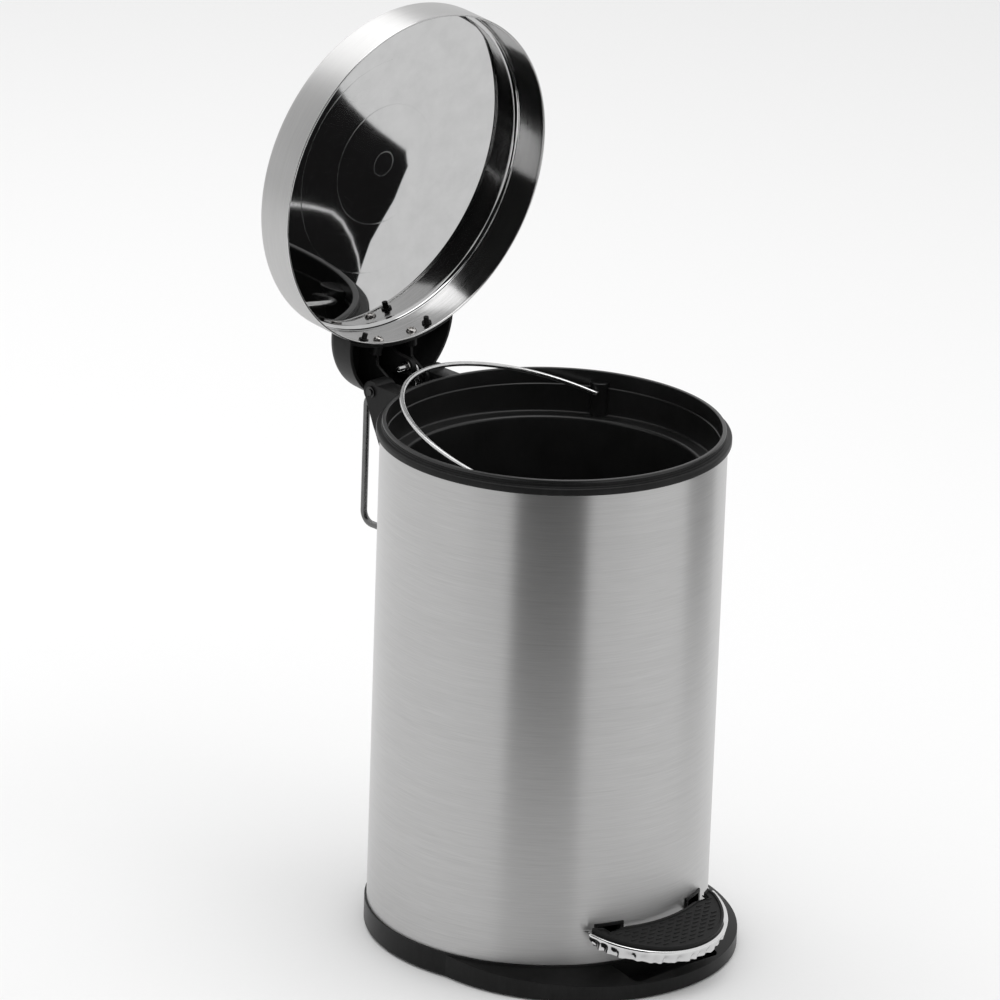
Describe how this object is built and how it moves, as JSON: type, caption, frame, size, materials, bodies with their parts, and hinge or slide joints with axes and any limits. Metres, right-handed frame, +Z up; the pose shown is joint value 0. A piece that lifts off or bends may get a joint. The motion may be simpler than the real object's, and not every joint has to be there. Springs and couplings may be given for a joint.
{
  "type": "pedal trash can",
  "caption": "Round steel pedal trash can with a hinged domed lid, inner bucket with bail, push rod linkage and a rear carrying handle.",
  "frame": {"origin": "on the barrel's axis at the floor", "axes": "+Z up, -Y to the front where the pedal is, +Y to the back where the hinge and carrying handle are, +X to the right seen from the front"},
  "size_m": [0.2556, 0.3693, 0.6613],
  "materials": {
    "barrel_steel": "stainless sheet brushed round the barrel",
    "lid_steel": "stainless sheet, brushed skirt and bright dome",
    "pedal_chrome": "bright nickel-chrome on pressed steel",
    "wire_steel": "bright drawn wire",
    "lever_steel": "black stoved paint",
    "zinc_steel": "bright zinc plate",
    "black_plastic": "satin moulded polypropylene",
    "bucket_plastic": "satin moulded polypropylene",
    "rubber": "matt moulded rubber"
  },
  "bodies": {
    "housing": {"shell": "barrel_steel", "rim_ring": "black_plastic", "base": "black_plastic", "foot_ring": "rubber", "base_screws": "zinc_steel", "lever_axle": "zinc_steel", "axle_clips": "zinc_steel", "slot_bezels": "black_plastic", "hinge_mount": "black_plastic", "hinge_backing_plate": "zinc_steel", "hinge_mount_screws": "zinc_steel", "hinge_pins": "zinc_steel", "hinge_pin_clips": "zinc_steel", "rear_handle": "wire_steel", "handle_push_nuts": "zinc_steel", "bucket": "bucket_plastic"},
    "bail": {"bail_handle": "wire_steel"},
    "lid": {"lid_shell": "lid_steel", "lid_bracket": "black_plastic", "lid_screws": "zinc_steel", "peg_washers": "zinc_steel"},
    "push_rod": {"push_rod": "wire_steel", "rod_clips": "zinc_steel"},
    "pedal": {"pedal_lever": "lever_steel", "lever_bushes": "black_plastic", "pedal_plate": "pedal_chrome", "pedal_rivets": "zinc_steel", "pedal_pad": "rubber"}
  },
  "joints": [
    {"name": "lid_hinge", "type": "hinge", "parent": "housing", "child": "lid", "pos_m": [0, 0.1565, 0.3762], "axis": [1, 0, 0], "range_deg": [0, 84.5]},
    {"name": "push_rod_pivot", "type": "hinge", "parent": "lid", "child": "push_rod", "pos_m": [0.009, 0.15629, 0.3884], "axis": [1, 0, 0], "range_deg": [-83, 0]},
    {"name": "pedal_pivot", "type": "hinge", "parent": "housing", "child": "pedal", "pos_m": [0, -0.045, 0.032], "axis": [1, 0, 0], "range_deg": [-4.6, 0]},
    {"name": "bail_swing", "type": "hinge", "parent": "housing", "child": "bail", "pos_m": [0, 0, 0.3744], "axis": [0.8669, 0.4985, 0], "range_deg": [0, 147]}
  ],
  "couplings": [
    {"joint": "push_rod_pivot", "follows": "lid_hinge", "ratio": -0.97732},
    {"joint": "pedal_pivot", "follows": "lid_hinge", "ratio": -0.053479}
  ]
}
